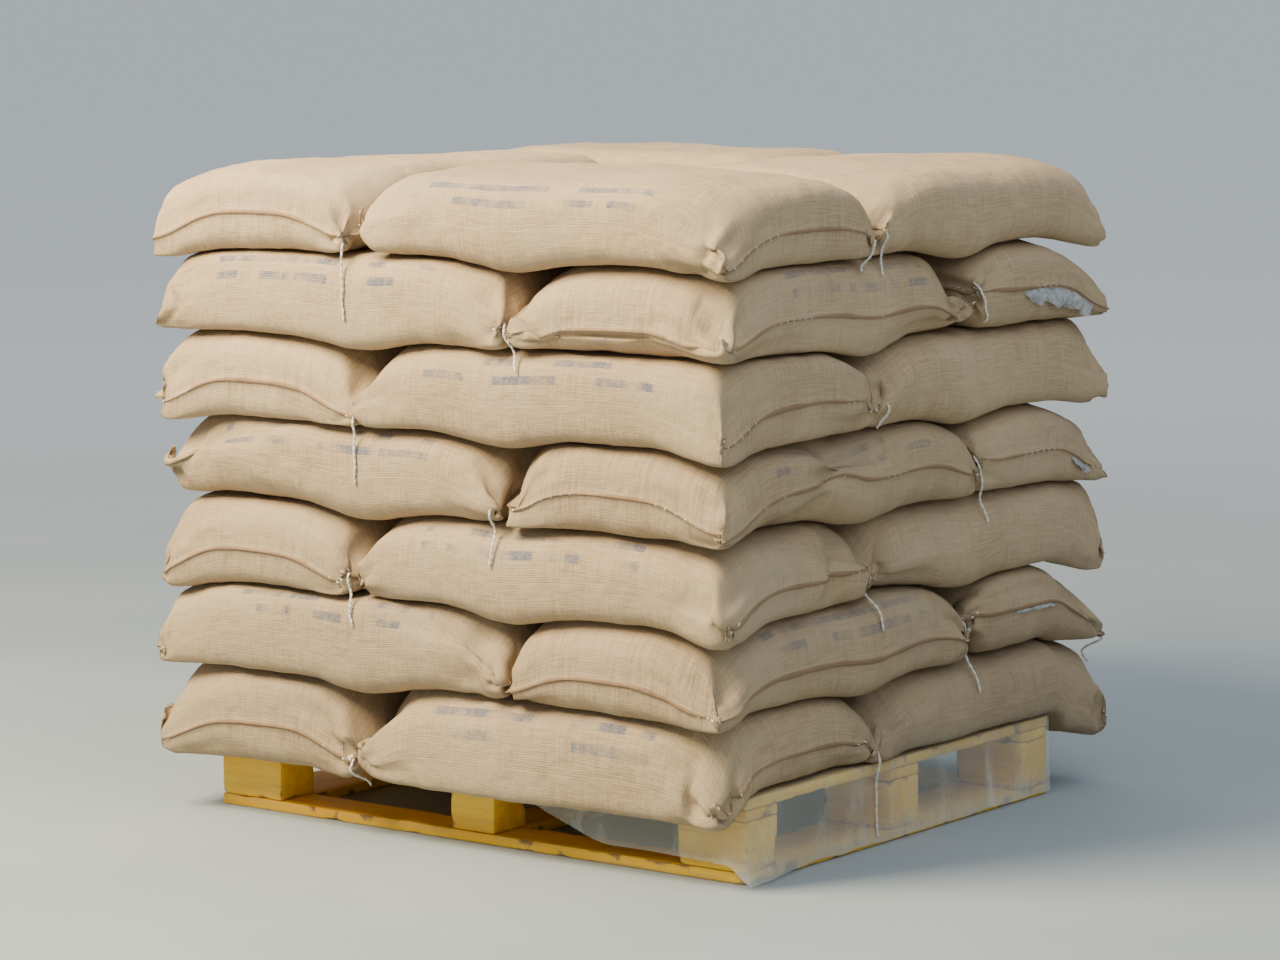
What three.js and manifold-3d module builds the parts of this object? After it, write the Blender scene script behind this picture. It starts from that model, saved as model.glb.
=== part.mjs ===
// A loaded pallet: 28 jute sacks in seven crossed layers of four, on film laid over a painted timber pallet.
// Millimetres, +Z up. The origin is on the floor under the middle of the load.
// The pallet's long side faces -Y, and the side that the film hangs down faces +X.
import * as THREE from 'three';
import { mergeVertices } from 'three/addons/utils/BufferGeometryUtils.js';
import Module from 'manifold-3d';

const wasm = await Module();
wasm.setup();

// The pallet
const PALLET_LENGTH = 1200; // along X
const PALLET_WIDTH = 1000; // along Y
const PALLET_HEIGHT = 150;
const BOARD_THICKNESS = 20;
const GAP = 0.3; // clearance between pieces that touch
const BLOCK_HEIGHT = PALLET_HEIGHT - 3 * BOARD_THICKNESS - 3 * GAP;
const BLOCK_WIDTH = 95; // along Y
const CORNER_BLOCK_LENGTH = 145; // along X
const MIDDLE_BLOCK_LENGTH = 100;
const LEAD_BOARD_WIDTH = 120; // the deck board at each end
const DECK_BOARD_WIDTH = 100;
const DECK_BOARDS = 7;

// The film
const FILM_THICKNESS = 2;
const FILM_FLOOR_CLEARANCE = 12;
const FLAP_LENGTH = 145; // the piece that turns the corner on to the -Y side
const FLAP_HEM_INNER = 96; // its lower edge's height at the end away from the corner
const FLAP_HEM_CORNER = 30;

// The load
const SACK_LENGTH = 800;
const SACK_WIDTH = 470;
const LAYER_PITCH = 152;
const LAYERS = 7;
const LOAD_SIDE = SACK_LENGTH + SACK_WIDTH; // a layer is four sacks round a square hollow
const HALF_LOAD = LOAD_SIDE / 2;
const JUNCTION = SACK_LENGTH - HALF_LOAD; // from a face's middle to where two sacks meet on it
const LOAD_FLOOR = PALLET_HEIGHT + FILM_THICKNESS + 2 * GAP;
const OVERHANG_RIGHT = 8; // how far the load passes the pallet's edge at +X
const OVERHANG_FRONT = 90; // and at -Y

// The surface between two layers sags
const EDGE_DROOP = 12; // along the load's faces
const EDGE_BAND = 160;
const JUNCTION_DIP = 22; // in the crevice where two sacks meet
const JUNCTION_DEPTH = 280;
const JUNCTION_SPREAD = 95;
const CORNER_DROPS = [0, 0, 28, 8, 17, 2, 23, 30]; // at the load's corners, above each layer from the deck up
const CORNER_SPREAD = 110;
const OVERHANG_SAG = 46; // just past the pallet's edge
const OVERHANG_BAND = [3, 65];
const FAR_OVERHANG_SAG = 20; // and more, further out
const FAR_OVERHANG_BAND = [60, 180];
const OVERHANG_SHARES = [1, 0.3, 0.15, 0.08, 0.04, 0, 0, 0]; // what is left of it above each layer

// A sack's section: flat where the layers press it, with rounded sides that have slumped
const SECTION_HEIGHTS = [0, 0.06, 0.25, 0.5, 0.75, 0.94, 1]; // as shares of its layer's height
const ROUNDING = 62; // how far in from the seam the flat begins
const LEVEL_INSET = 150; // how far in the flat is level
const SEAM_CORNER_RADIUS = 25;
const CORNER_GROWTH = 1.6; // how much rounder the corners get for each millimetre inwards
const ROUNDEST_CORNER = 0.9; // of half the sack's width
const LONG_SIDE_SHARES = [0.175, 0.375, 0.6, 0.825];
const SHORT_SIDE_SHARES = [0.5];
const RIM_SLUMP = 0.42;
const BOTTOM_RIM_SLUMP = 0.92;
const SLUMP_BAND = 130;
const EAR_SLUMP = 0.65;
const FREE_EAR_SLUMP = 1.05; // at the end that shows on a face
const EAR_SPREAD = 85;
const EAR_REACH = 16; // how far the cloth of a corner spreads at its foot
const BOTTOM_EAR_REACH = 32;
const MOUTH_SLUMP = 0.33; // the half-empty corner of the back sacks in the even layers
const MOUTH_BAND = [120, 380]; // along the sack
const MOUTH_SIDE_BAND = [-20, 250]; // across it
const PRESS = 5; // how far a sack is pressed into those below it

const { clamp, lerp, smoothstep } = THREE.MathUtils;
const palletCentre = new THREE.Vector2(
  HALF_LOAD - OVERHANG_RIGHT - PALLET_LENGTH / 2,
  -HALF_LOAD + OVERHANG_FRONT + PALLET_WIDTH / 2,
);

const painted = () => new THREE.MeshStandardMaterial({ color: 0xd99a1c, roughness: 0.7, metalness: 0 });
const jute = () => new THREE.MeshStandardMaterial({ color: 0xb4946a, roughness: 0.95, metalness: 0 });
const clearFilm = () =>
  new THREE.MeshStandardMaterial({
    color: 0xd5dadb,
    roughness: 0.3,
    metalness: 0,
    transparent: true,
    opacity: 0.4,
  });

function named(name, geometry, material, x = 0, y = 0, z = 0) {
  const mesh = new THREE.Mesh(geometry, material);
  mesh.name = name;
  mesh.position.set(x, y, z);
  return mesh;
}

// A sawn board or block standing on height z
function timber(name, length, width, thickness, x, y, z) {
  return named(name, new THREE.BoxGeometry(length, width, thickness), painted(), x, y, z + thickness / 2);
}

function pallet() {
  const group = new THREE.Group();
  const rows = [
    ['front', -(PALLET_WIDTH - BLOCK_WIDTH) / 2],
    ['middle', 0],
    ['back', (PALLET_WIDTH - BLOCK_WIDTH) / 2],
  ];
  const columns = [
    ['left', -(PALLET_LENGTH - CORNER_BLOCK_LENGTH) / 2, CORNER_BLOCK_LENGTH],
    ['middle', 0, MIDDLE_BLOCK_LENGTH],
    ['right', (PALLET_LENGTH - CORNER_BLOCK_LENGTH) / 2, CORNER_BLOCK_LENGTH],
  ];
  const blockZ = BOARD_THICKNESS + GAP;
  const stringerZ = blockZ + BLOCK_HEIGHT + GAP;
  const deckZ = stringerZ + BOARD_THICKNESS + GAP;
  const crossLength = PALLET_WIDTH - 2 * BLOCK_WIDTH - 2 * GAP;

  for (const [row, y] of rows) {
    if (row !== 'middle') {
      group.add(timber(`bottom_board_${row}`, PALLET_LENGTH, BLOCK_WIDTH, BOARD_THICKNESS, 0, y, 0));
    }
    for (const [column, x, length] of columns) {
      group.add(timber(`block_${row}_${column}`, length, BLOCK_WIDTH, BLOCK_HEIGHT, x, y, blockZ));
    }
    group.add(timber(`stringer_${row}`, PALLET_LENGTH, BLOCK_WIDTH, BOARD_THICKNESS, 0, y, stringerZ));
  }
  for (const [column, x, length] of columns) {
    group.add(timber(`bottom_cross_board_${column}`, length, crossLength, BOARD_THICKNESS, x, 0, 0));
  }

  const leadX = (PALLET_LENGTH - LEAD_BOARD_WIDTH) / 2;
  const innerSpan = PALLET_LENGTH - 2 * LEAD_BOARD_WIDTH;
  const innerBoards = DECK_BOARDS - 2;
  const space = (innerSpan - innerBoards * DECK_BOARD_WIDTH) / (innerBoards + 1);
  for (let i = 0; i < DECK_BOARDS; i++) {
    const lead = i === 0 || i === DECK_BOARDS - 1;
    const x = lead
      ? Math.sign(i - 1) * leadX
      : -innerSpan / 2 + i * space + (i - 0.5) * DECK_BOARD_WIDTH;
    const width = lead ? LEAD_BOARD_WIDTH : DECK_BOARD_WIDTH;
    group.add(timber(`deck_board_${i + 1}`, width, PALLET_WIDTH, BOARD_THICKNESS, x, 0, deckZ));
  }
  return group;
}

function toSolid(geometry) {
  geometry.deleteAttribute('normal');
  geometry.deleteAttribute('uv');
  const merged = mergeVertices(geometry);
  return new wasm.Manifold(
    new wasm.Mesh({
      numProp: 3,
      vertProperties: new Float32Array(merged.attributes.position.array),
      triVerts: new Uint32Array(merged.index.array),
    }),
  );
}

function toGeometry(solid) {
  const mesh = solid.getMesh();
  const geometry = new THREE.BufferGeometry();
  geometry.setAttribute('position', new THREE.BufferAttribute(mesh.vertProperties, 3));
  geometry.setIndex(new THREE.BufferAttribute(mesh.triVerts, 1));
  geometry.computeVertexNormals();
  return geometry;
}

// The film lies on the deck, hangs down the +X side, and turns the near corner as a short flap
function film() {
  const right = PALLET_LENGTH / 2 + GAP;
  const front = -PALLET_WIDTH / 2 - GAP;
  const top = PALLET_HEIGHT + GAP + FILM_THICKNESS;
  const width = PALLET_WIDTH + GAP + FILM_THICKNESS;
  const middleY = -(GAP + FILM_THICKNESS) / 2;

  const laid = new THREE.BoxGeometry(PALLET_LENGTH + GAP + FILM_THICKNESS, width, FILM_THICKNESS);
  laid.translate((GAP + FILM_THICKNESS) / 2, middleY, top - FILM_THICKNESS / 2);

  const skirtHeight = top - FILM_FLOOR_CLEARANCE;
  const skirt = new THREE.BoxGeometry(FILM_THICKNESS, width, skirtHeight);
  skirt.translate(right + FILM_THICKNESS / 2, middleY, top - skirtHeight / 2);

  const outline = new THREE.Shape([
    new THREE.Vector2(right + FILM_THICKNESS, top),
    new THREE.Vector2(right + FILM_THICKNESS - FLAP_LENGTH, top),
    new THREE.Vector2(right + FILM_THICKNESS - FLAP_LENGTH, FLAP_HEM_INNER),
    new THREE.Vector2(right + FILM_THICKNESS, FLAP_HEM_CORNER),
  ]);
  const flap = new THREE.ExtrudeGeometry(outline, { depth: FILM_THICKNESS, bevelEnabled: false });
  flap.rotateX(Math.PI / 2);
  flap.translate(0, front, 0);

  const whole = toSolid(laid).add(toSolid(skirt)).add(toSolid(flap));
  return named('film_sheet', toGeometry(whole), clearFilm());
}

// 1 at the middle of a bump, falling away over its spread
function bump(distance, spread) {
  return Math.exp(-((distance / spread) ** 2));
}

// How far the load sags where it passes the pallet's edge
function overhangSag(x, y) {
  const pastX = Math.max(0, Math.abs(x - palletCentre.x) - PALLET_LENGTH / 2);
  const pastY = Math.max(0, Math.abs(y - palletCentre.y) - PALLET_WIDTH / 2);
  const past = Math.hypot(pastX, pastY);
  const nearSag = OVERHANG_SAG * smoothstep(past, ...OVERHANG_BAND);
  return nearSag + FAR_OVERHANG_SAG * smoothstep(past, ...FAR_OVERHANG_BAND);
}

// The height of the surface above a layer, or of the deck for layer 0
function surfaceHeight(number, x, y) {
  const flat = LOAD_FLOOR + number * LAYER_PITCH;
  const overhang = OVERHANG_SHARES[number] * overhangSag(x, y);
  if (number === 0) return flat - overhang;
  const hand = number % 2 === 1 ? 1 : -1;
  const faces = [
    [x, HALF_LOAD + y, -hand],
    [y, HALF_LOAD - x, -hand],
    [x, HALF_LOAD - y, hand],
    [y, HALF_LOAD + x, hand],
  ];
  const nearest = Math.min(...faces.map(([, depth]) => depth));
  let sag = overhang + EDGE_DROOP * (1 - smoothstep(nearest, 0, EDGE_BAND));
  for (const [along, depth, side] of faces) {
    const dip = JUNCTION_DIP * (1 - smoothstep(depth, 0, JUNCTION_DEPTH));
    sag += dip * bump(along - side * JUNCTION, JUNCTION_SPREAD);
  }
  const corner = Math.hypot(HALF_LOAD - Math.abs(x), HALF_LOAD - Math.abs(y));
  return flat - sag - CORNER_DROPS[number] * bump(corner, CORNER_SPREAD);
}

// One closed ring of a sack's outline, anticlockwise from above, with points along its sides
function sackRing(inset) {
  const halfLength = (SACK_LENGTH - GAP) / 2 - inset;
  const halfWidth = (SACK_WIDTH - GAP) / 2 - inset;
  const radius = Math.min(SEAM_CORNER_RADIUS + CORNER_GROWTH * inset, ROUNDEST_CORNER * halfWidth);
  const x = halfLength - radius;
  const y = halfWidth - radius;
  const corners = [
    [x, y],
    [-x, y],
    [-x, -y],
    [x, -y],
  ];
  const points = [];
  corners.forEach(([cornerX, cornerY], i) => {
    for (let step = 0; step <= 2; step++) {
      const angle = ((i + step / 2) * Math.PI) / 2;
      points.push([cornerX + radius * Math.cos(angle), cornerY + radius * Math.sin(angle)]);
    }
    const [nextX, nextY] = corners[(i + 1) % corners.length];
    const outward = ((i + 1) * Math.PI) / 2;
    for (const share of i % 2 === 0 ? LONG_SIDE_SHARES : SHORT_SIDE_SHARES) {
      points.push([
        lerp(cornerX, nextX, share) + radius * Math.cos(outward),
        lerp(cornerY, nextY, share) + radius * Math.sin(outward),
      ]);
    }
  });
  return points;
}

// Where a point of a sack lies after the filling has slumped, with its height as a share of the layer's
function slumped(x, y, share, bottomLayer, halfEmpty) {
  const edge = Math.min(SACK_LENGTH / 2 - Math.abs(x), SACK_WIDTH / 2 - Math.abs(y));
  let slump = (bottomLayer ? BOTTOM_RIM_SLUMP : RIM_SLUMP) * (1 - smoothstep(edge, 0, SLUMP_BAND));
  const reach = (bottomLayer ? BOTTOM_EAR_REACH : EAR_REACH) * (1 - share);
  let [newX, newY] = [x, y];
  for (const endX of [1, -1]) {
    for (const endY of [1, -1]) {
      const away = Math.hypot(x - (endX * SACK_LENGTH) / 2, y - (endY * SACK_WIDTH) / 2);
      slump += (endX > 0 ? FREE_EAR_SLUMP : EAR_SLUMP) * bump(away, EAR_SPREAD);
      newX += endX * reach * bump(away, EAR_SPREAD);
      newY += endY * reach * bump(away, EAR_SPREAD);
    }
  }
  let height = share ** (1 + slump);
  if (halfEmpty) {
    height *= 1 - MOUTH_SLUMP * smoothstep(x, ...MOUTH_BAND) * smoothstep(-y, ...MOUTH_SIDE_BAND);
  }
  const limit = (size, value) => clamp(value, (GAP - size) / 2, (size - GAP) / 2);
  return { x: limit(SACK_LENGTH, newX), y: limit(SACK_WIDTH, newY), height };
}

// A filled sack in its own place in a layer. Its rings go from the level part of its underside round its
// sides to the level part of its top.
function sackSolid(number, place, mirrored, halfEmpty) {
  const rings = SECTION_HEIGHTS.map((share) => {
    const inset = ROUNDING * (1 - Math.sqrt(1 - (2 * share - 1) ** 2));
    return { inset, share };
  });
  rings.unshift({ inset: LEVEL_INSET, share: 0 });
  rings.push({ inset: LEVEL_INSET, share: 1 });

  const positions = [];
  for (const { inset, share } of rings) {
    for (const [ringX, ringY] of sackRing(inset)) {
      const point = slumped(ringX, ringY, share, number === 1, halfEmpty);
      const [x, y] = place(point.x, point.y);
      const low = surfaceHeight(number - 1, x, y) - PRESS;
      const high = surfaceHeight(number, x, y) - GAP;
      positions.push(x, y, low + (high - low) * point.height);
    }
  }
  const count = positions.length / 3 / rings.length;
  const index = [];
  const triangle = (a, b, c) => index.push(a, mirrored ? c : b, mirrored ? b : c);
  for (let ring = 0; ring + 1 < rings.length; ring++) {
    for (let i = 0; i < count; i++) {
      const a = ring * count + i;
      const b = ring * count + ((i + 1) % count);
      triangle(a, b, b + count);
      triangle(a, b + count, a + count);
    }
  }
  const top = (rings.length - 1) * count;
  for (let i = 1; i + 1 < count; i++) {
    triangle(0, i + 1, i);
    triangle(top, top + i, top + i + 1);
  }
  const geometry = new THREE.BufferGeometry();
  geometry.setAttribute('position', new THREE.Float32BufferAttribute(positions, 3));
  geometry.setIndex(index);
  return toSolid(geometry);
}

// The deck, the film on it and the film's skirt, which the bottom sacks press against
function footprint() {
  const skirt = GAP + FILM_THICKNESS + GAP;
  const low = new THREE.Vector3(-PALLET_LENGTH / 2 - GAP, -PALLET_WIDTH / 2 - skirt, 0);
  const high = new THREE.Vector3(
    PALLET_LENGTH / 2 + skirt,
    PALLET_WIDTH / 2 + GAP,
    PALLET_HEIGHT + FILM_THICKNESS + 1.5 * GAP,
  );
  const size = new THREE.Vector3().subVectors(high, low);
  const block = new THREE.BoxGeometry(size.x, size.y, size.z);
  block.translate(palletCentre.x, palletCentre.y, 0);
  block.translate((low.x + high.x) / 2, (low.y + high.y) / 2, (low.z + high.z) / 2);
  return toSolid(block);
}

// Four sacks chase each other round the layer, and each is pressed into what lies under it.
// Even layers are mirror images of odd ones.
function layer(number, under) {
  const mirrored = number % 2 === 0;
  const sides = mirrored ? ['front', 'left', 'back', 'right'] : ['front', 'right', 'back', 'left'];
  const along = (LOAD_SIDE - SACK_LENGTH) / 2;
  const across = -(LOAD_SIDE - SACK_WIDTH) / 2;
  return sides.map((side, turn) => {
    const angle = (turn * Math.PI) / 2;
    const cos = Math.round(Math.cos(angle));
    const sin = Math.round(Math.sin(angle));
    const place = (x, y) => {
      const turnedX = (along + x) * cos - (across + y) * sin;
      const turnedY = (along + x) * sin + (across + y) * cos;
      return [mirrored ? -turnedX : turnedX, turnedY];
    };
    const whole = sackSolid(number, place, mirrored, mirrored && side === 'back');
    const solid = under.reduce((sack, other) => sack.subtract(other), whole);
    return { name: `sack_${number}_${side}`, solid };
  });
}

const loadedPallet = new THREE.Group();

const base = new THREE.Group();
base.position.set(palletCentre.x, palletCentre.y, 0);
base.add(pallet(), film());
loadedPallet.add(base);

let under = [footprint()];
for (let number = 1; number <= LAYERS; number++) {
  const sacks = layer(number, under);
  for (const { name, solid } of sacks) {
    loadedPallet.add(named(name, toGeometry(solid), jute()));
  }
  under = sacks.map(({ solid }) => solid.translate([0, 0, GAP]));
}

export default loadedPallet;
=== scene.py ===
"""A pallet of filled jute sacks, 28 in seven layers on a painted block pallet with film on its deck."""
import math
import random

import bmesh
import bpy
import numpy as np
from mathutils import Matrix, Vector, noise
from mathutils.bvhtree import BVHTree


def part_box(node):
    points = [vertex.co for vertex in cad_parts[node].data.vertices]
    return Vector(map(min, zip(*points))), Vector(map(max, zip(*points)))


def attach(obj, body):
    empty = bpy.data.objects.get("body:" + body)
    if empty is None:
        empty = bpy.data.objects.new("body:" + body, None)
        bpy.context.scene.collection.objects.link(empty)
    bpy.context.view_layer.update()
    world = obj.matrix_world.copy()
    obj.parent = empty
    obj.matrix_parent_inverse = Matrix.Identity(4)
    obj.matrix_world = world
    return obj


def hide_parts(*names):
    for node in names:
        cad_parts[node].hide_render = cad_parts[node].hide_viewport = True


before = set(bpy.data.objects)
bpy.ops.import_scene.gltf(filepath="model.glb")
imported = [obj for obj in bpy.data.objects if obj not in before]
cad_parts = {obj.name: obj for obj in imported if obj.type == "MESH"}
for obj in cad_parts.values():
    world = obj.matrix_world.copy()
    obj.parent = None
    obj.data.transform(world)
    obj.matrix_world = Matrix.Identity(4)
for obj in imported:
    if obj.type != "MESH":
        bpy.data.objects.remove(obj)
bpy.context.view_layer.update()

LAYERS = 7
SIDES = ("front", "right", "back", "left")
SACK_LOW, SACK_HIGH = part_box("sack_3_right")
DECK_LOW, DECK_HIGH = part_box("deck_board_1")[0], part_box("deck_board_7")[1]
PITCH = (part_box("sack_7_front")[1].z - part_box("sack_3_front")[1].z) / 4
HALF = SACK_HIGH.x
SACK_WIDTH = SACK_HIGH.x - SACK_LOW.x
SACK_LENGTH = SACK_HIGH.y - SACK_LOW.y
LOAD_FLOOR = SACK_HIGH.z - 3 * PITCH
CELL_CENTRE = Vector((HALF - SACK_LENGTH / 2, SACK_WIDTH / 2 - HALF, 0))
JUNCTION = SACK_LENGTH - HALF
FACE_AXES = {
    "front": (Vector((1, 0, 0)), Vector((0, -1, 0))),
    "right": (Vector((0, 1, 0)), Vector((1, 0, 0))),
}

# A bag as it is cut, and its filling. Lengths are in metres.
CUT = (0.905, 0.565)
START_SHARE = 0.84
CELLS = (48, 28)
HEM = 0.003
PUFF = 0.03
DENT_SIZE = 0.16
DENTS = 0.4
TOP_LAYER_DENTS = 0.15
BAG_SPACING = (1.3, 0.95)
PLATE_SIZE = 30
PLATE_CENTRE = (4, 2)
END_WALL = 0.7
SIDE_WALL = 0.9
OUTER_ROOM = 0.010
CLOTH_GAP = 0.0035
FRAMES = 28
PRESSURES = (3.4, 4.8)
TOP_PRESSURE = 5.2
TOP_BAGS = 4
SEAM_REACH = 0.008
STITCH_REACH = 0.0055
STITCH_LIFT = 0.0012
STITCH_SECTION = ((0.0009, 0), (0, 0.0011), (-0.0009, 0), (0, -0.0011))

# The surfaces between the layers. Each droop: its depth, and where past the pallet it starts and ends.
TOP_DENT, TOP_DENT_SIZE = 0.008, 0.24
EDGE_DROOP, EDGE_BAND = 0.012, 0.16
JUNCTION_DIP, JUNCTION_DEPTH, JUNCTION_SPREAD = 0.022, 0.28, 0.095
CORNER_DROP = (0, 0, 0.028, 0.008, 0.017, 0.002, 0.023, 0.030)
CORNER_SPREAD = 0.11
OVERHANG_SHARE = (1, 0.30, 0.15, 0.08, 0.04, 0, 0, 0)
OVERHANG_DROOPS = ((0.046, 0.003, 0.065), (0.020, 0.06, 0.18))

# How a filled sack slumps and slips. A sack's mouth is at its own +X end.
EARS = ((1, 1), (1, -1), (-1, 1), (-1, -1))
RIM_SLUMP, RIM_BAND = (0.05, 0.30), 0.13
MOUTH_EAR_DROP = (0.8, 1.3)
BASE_EAR_DROP = (0.4, 0.9)
TWISTED_EAR_DROP = {1: -0.35, -1: 1.5}
NEAR_EAR_SHARE = 0.35
EAR_SPREAD = 0.085
CORNER_FILL, FILL_SPREAD = 0.016, 0.075
FIRST_LAYER_SLUMP, FIRST_LAYER_FILL = 2.2, 2
MOUTH_BAND = (0.12, 0.38)
MOUTH_SINK = (0.25, 0.42)
MOUTH_LEAN = 0.02
YAW = 1.3
SLIP_ALONG = (-0.004, 0.004)
SLIP_OUT = (-0.010, 0.004)
SWELLS = ((0.0022, 0.045, 0), (0.004, 0.16, 40))
SWELL_BAND = 0.02
BULGE_ROOM, BULGE_CUT = 0.004, 0.45
# Each sack's random tone, times painted shade that darkens the lower layers: the factor below the first
# layer and its rise for each layer up.
TONES, LOW_LAYER_SHADE, LAYER_SHADE_STEP = (0.92, 1.06), 0.82, 0.033

TIMBER_STEP = 0.014
ARRIS = 0.0025
WORN_EDGE = (0.0005, 0.007)
BRUISE_DEPTH, BRUISE_SIZE = 0.0022, 0.035
SAW_WAVE, SAW_WAVE_SIZE = 0.0004, 0.09
SKIN_DEPTH = 0.004
NAIL_RADIUS, NAIL_THICKNESS = 0.0045, 0.0012
NAIL_SCATTER = 0.004
DECK_NAIL_SPREAD, DECK_NAIL_SINK = (0.028, 0.022), 0.0004
BASE_NAIL_SPREAD, BASE_NAIL_HEIGHT = (0.025, -0.020), 0.0009

FILM_LIFT = 0.0012
FILM_COLUMNS = 90
SKIRT_STEPS = 16
DECK_STEPS = 24
FILM_ROW = 0.009
FLAP = 0.54
HEM_HEIGHT, HEM_WAVE = 0.006, 0.008
FLAP_HEM, FLAP_HEM_BAND = 0.030, 0.025
FLAP_END, FLAP_END_RISE = 0.28, 0.07
FILM_WRINKLE = 0.0004
SKIRT_START, SKIRT_BILLOW = 0.0008, 0.010
CORNER_BILLOW, CORNER_BILLOW_SPREAD = 0.020, 0.10
CORNER_TURN, FLAP_TURN = 0.02, 0.03
FILM_TOP = DECK_HIGH.z + FILM_LIFT
SKIRT_X = DECK_HIGH.x + FILM_LIFT
FLAP_Y = DECK_LOW.y - FILM_LIFT
SKIRT_RUN = DECK_HIGH.y - FLAP_Y

TAIL_DIAMETER = 0.0055
TAIL_ROOT = 0.008
TAIL_STEPS = 40
TAIL_WANDER = 0.006
PLY_TURN = 0.9
PROBE_START, PROBE_REACH = 0.2, 0.5
TAIL_HOLLOW = 0.04
TAIL_BRIDGE = 5
SLACK = 1.02
# Each tail's face, layer, sack, ear, length and lean along the face.
TAILS = (
    ("front", 7, "left", (1, 1), 0.14, 0.010),
    ("front", 6, "front", (-1, -1), 0.10, 0.045),
    ("front", 5, "left", (1, 1), 0.13, 0.006),
    ("front", 4, "front", (-1, -1), 0.12, 0.000),
    ("front", 3, "left", (1, 1), 0.10, 0.020),
    ("front", 1, "left", (1, 1), 0.09, 0.014),
    ("right", 7, "front", (1, 1), 0.08, -0.030),
    ("right", 7, "right", (-1, -1), 0.09, 0.006),
    ("right", 6, "back", (1, 1), 0.09, 0.030),
    ("right", 5, "right", (-1, -1), 0.06, -0.010),
    ("right", 4, "back", (1, 1), 0.14, 0.045),
    ("right", 3, "front", (1, 1), 0.12, 0.012),
    ("right", 2, "back", (1, 1), 0.15, 0.030),
    ("right", 1, "front", (1, 1), 0.17, 0.006),
    ("right", 2, "back", (1, -1), 0.09, -0.040),
)
# Each liner strip's name, layer, start and end along the right face, depth and flare.
LINERS = (
    ("liner_mouth_6", 6, 0.32, 0.58, 0.046, 0.016),
    ("liner_mouth_4", 4, 0.50, 0.57, 0.026, 0.010),
    ("liner_mouth_2", 2, 0.30, 0.46, 0.012, 0.006),
)
LINER_CELLS = (64, 10)
LINER_TUCK = 0.005
LINER_SWAY = 0.006
LIP_PROBES, LIP_LOW, LIP_STEP = 24, 0.04, 0.028

EYE = (4.621, -6.277, 1.567)
AIM = (0.0, 0.0, 0.60)
LENS = 117


def colour(red, green, blue):
    return (red, green, blue, 1.0)


THREAD_PITCH = 0.0028
MARK_ROW = 0.030
MARKS_LOW, MARKS_HIGH = (0.026, 0.029), (0.080, 0.083)
MARKS_START, MARKS_END = (0.20, 0.21), (0.70, 0.71)
PUCKER_BAND = 0.13
JUTE_LIGHT = colour(0.62, 0.475, 0.30)
JUTE_MID = colour(0.50, 0.365, 0.215)
JUTE_DARK = colour(0.33, 0.225, 0.125)
JUTE_GREY = colour(0.42, 0.36, 0.27)
# The sewn lips' colour: partly a browner cloth of their own, partly painted shade for the shadow line
# under each lip.
SEAM_BROWN_AND_SHADE = colour(0.235, 0.14, 0.075)
INK = colour(0.12, 0.14, 0.20)
PAINT = colour(0.93, 0.52, 0.012)
PAINT_PALE = colour(0.95, 0.63, 0.045)
PAINT_DEEP = colour(0.74, 0.36, 0.008)
BARE_WOOD = colour(0.50, 0.31, 0.13)
WOOD_RINGS = colour(0.26, 0.14, 0.05)
DIRT = colour(0.10, 0.075, 0.05)
STEEL = colour(0.30, 0.27, 0.24)
RUST = colour(0.21, 0.10, 0.05)
TWINE_COLOUR = colour(0.88, 0.85, 0.78)
TWINE_SHADE = colour(0.62, 0.57, 0.47)
FILM_COLOUR = colour(0.62, 0.64, 0.57)
FILM_DUSTY = colour(0.54, 0.55, 0.48)
FILM_STREAK_HIGHLIGHT = colour(0.80, 0.81, 0.76)
LINER_COLOUR = colour(0.48, 0.485, 0.475)
LINER_SHADE = colour(0.29, 0.30, 0.30)
FLOOR_DARK = colour(0.27, 0.31, 0.32)
FLOOR_LIGHT = colour(0.30, 0.335, 0.345)
FLOOR_FAR_PAINTED_LIGHT = colour(0.60, 0.61, 0.60)


def select_only(*objects):
    """Selects these objects alone and makes the first one active."""
    bpy.ops.object.select_all(action="DESELECT")
    for o in objects:
        o.select_set(True)
    if objects:
        bpy.context.view_layer.objects.active = objects[0]


def smooth(low, high, value):
    """0 below low, 1 above high, and an even curve between them."""
    t = np.clip((value - low) / (high - low), 0, 1)
    return t * t * (3 - 2 * t)


def averaged(columns, reach):
    """The running mean of each column over this many rows to either side."""
    width = 2 * reach + 1
    weights = np.ones(width) / width
    padded = np.pad(columns, ((reach, reach), (0, 0)), mode="edge")
    return np.column_stack([np.convolve(column, weights, "valid") for column in padded.T])


def points_of(mesh):
    co = np.zeros(len(mesh.vertices) * 3)
    mesh.vertices.foreach_get("co", co)
    return co.reshape(-1, 3)


def set_points(mesh, co):
    mesh.vertices.foreach_set("co", co.ravel())
    mesh.update()


def normals_of(mesh):
    normal = np.zeros(len(mesh.vertices) * 3)
    mesh.vertex_normals.foreach_get("vector", normal)
    return normal.reshape(-1, 3)


def wander(points, scale, seed):
    """Smooth noise from -1 to 1 at each point."""
    shift = Vector((seed * 3.71, seed * 1.93, seed * 5.17))
    return np.array([noise.noise(Vector(p) / scale + shift) for p in points])


def finish_modifier(o, kind, **settings):
    select_only(o)
    modifier = o.modifiers.new(kind.title(), kind)
    for key, value in settings.items():
        setattr(modifier, key, value)
    bpy.ops.object.modifier_apply(modifier=modifier.name)


def paint(mesh, name, value):
    """One number for each point of the mesh, for its material to read."""
    attribute = mesh.attributes.new(name, "FLOAT", "POINT")
    values = np.broadcast_to(np.asarray(value, np.float32), len(mesh.vertices))
    attribute.data.foreach_set("value", np.ascontiguousarray(values))


def add_object(name, data):
    o = bpy.data.objects.new(name, data)
    bpy.context.scene.collection.objects.link(o)
    return o


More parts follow.
